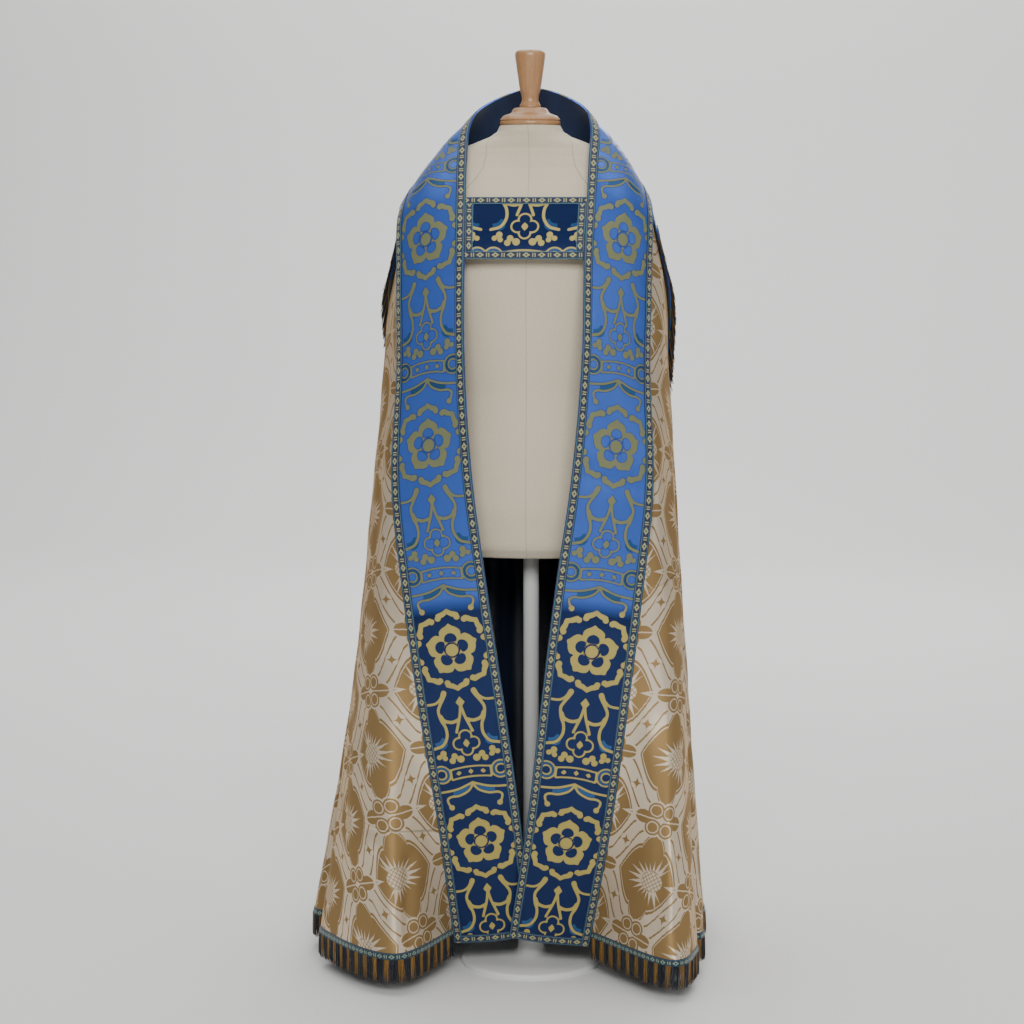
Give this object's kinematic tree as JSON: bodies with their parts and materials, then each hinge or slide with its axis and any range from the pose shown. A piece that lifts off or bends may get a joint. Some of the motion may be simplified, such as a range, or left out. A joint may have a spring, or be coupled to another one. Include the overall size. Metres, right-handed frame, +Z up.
{
  "type": "cope vestment on dress form",
  "caption": "Floor-length half-circle cloak with broad front bands, chest strap, back hood and fringed hem, draped on a limbless dress form with a round foot.",
  "frame": {"origin": "centre of the stand base's underside, on the axis of the pole", "axes": "+Z up, the cope's open front faces -Y, +X towards the wearer's left"},
  "size_m": [0.7171, 0.7352, 1.6043],
  "materials": {
    "cream_damask": "silk-faced damask, two-tone cream and tan",
    "blue_satin": "woven satin band, blue with dull gold figures",
    "galloon_braid": "woven braid, navy edges and pale gold lozenges",
    "block_fringe": "bunched thread fringe in navy and gold blocks",
    "form_linen": "unbleached linen cover",
    "turned_beech": "turned, waxed",
    "white_paint": "satin white"
  },
  "bodies": {
    "root": {"body_right": "cream_damask", "body_back": "cream_damask", "body_left": "cream_damask", "orphrey_right": "blue_satin", "orphrey_left": "blue_satin", "hood": "blue_satin", "morse": "blue_satin", "braid_inner_right": "galloon_braid", "braid_inner_left": "galloon_braid", "braid_outer_right": "galloon_braid", "braid_outer_left": "galloon_braid", "braid_end_right": "galloon_braid", "braid_end_left": "galloon_braid", "morse_braid": "galloon_braid", "hem_fringe": "block_fringe", "hood_fringe": "block_fringe", "form_body": "form_linen", "neck_cap": "turned_beech", "finial": "turned_beech", "stand_pole": "white_paint", "stand_base": "white_paint"}
  },
  "joints": []
}
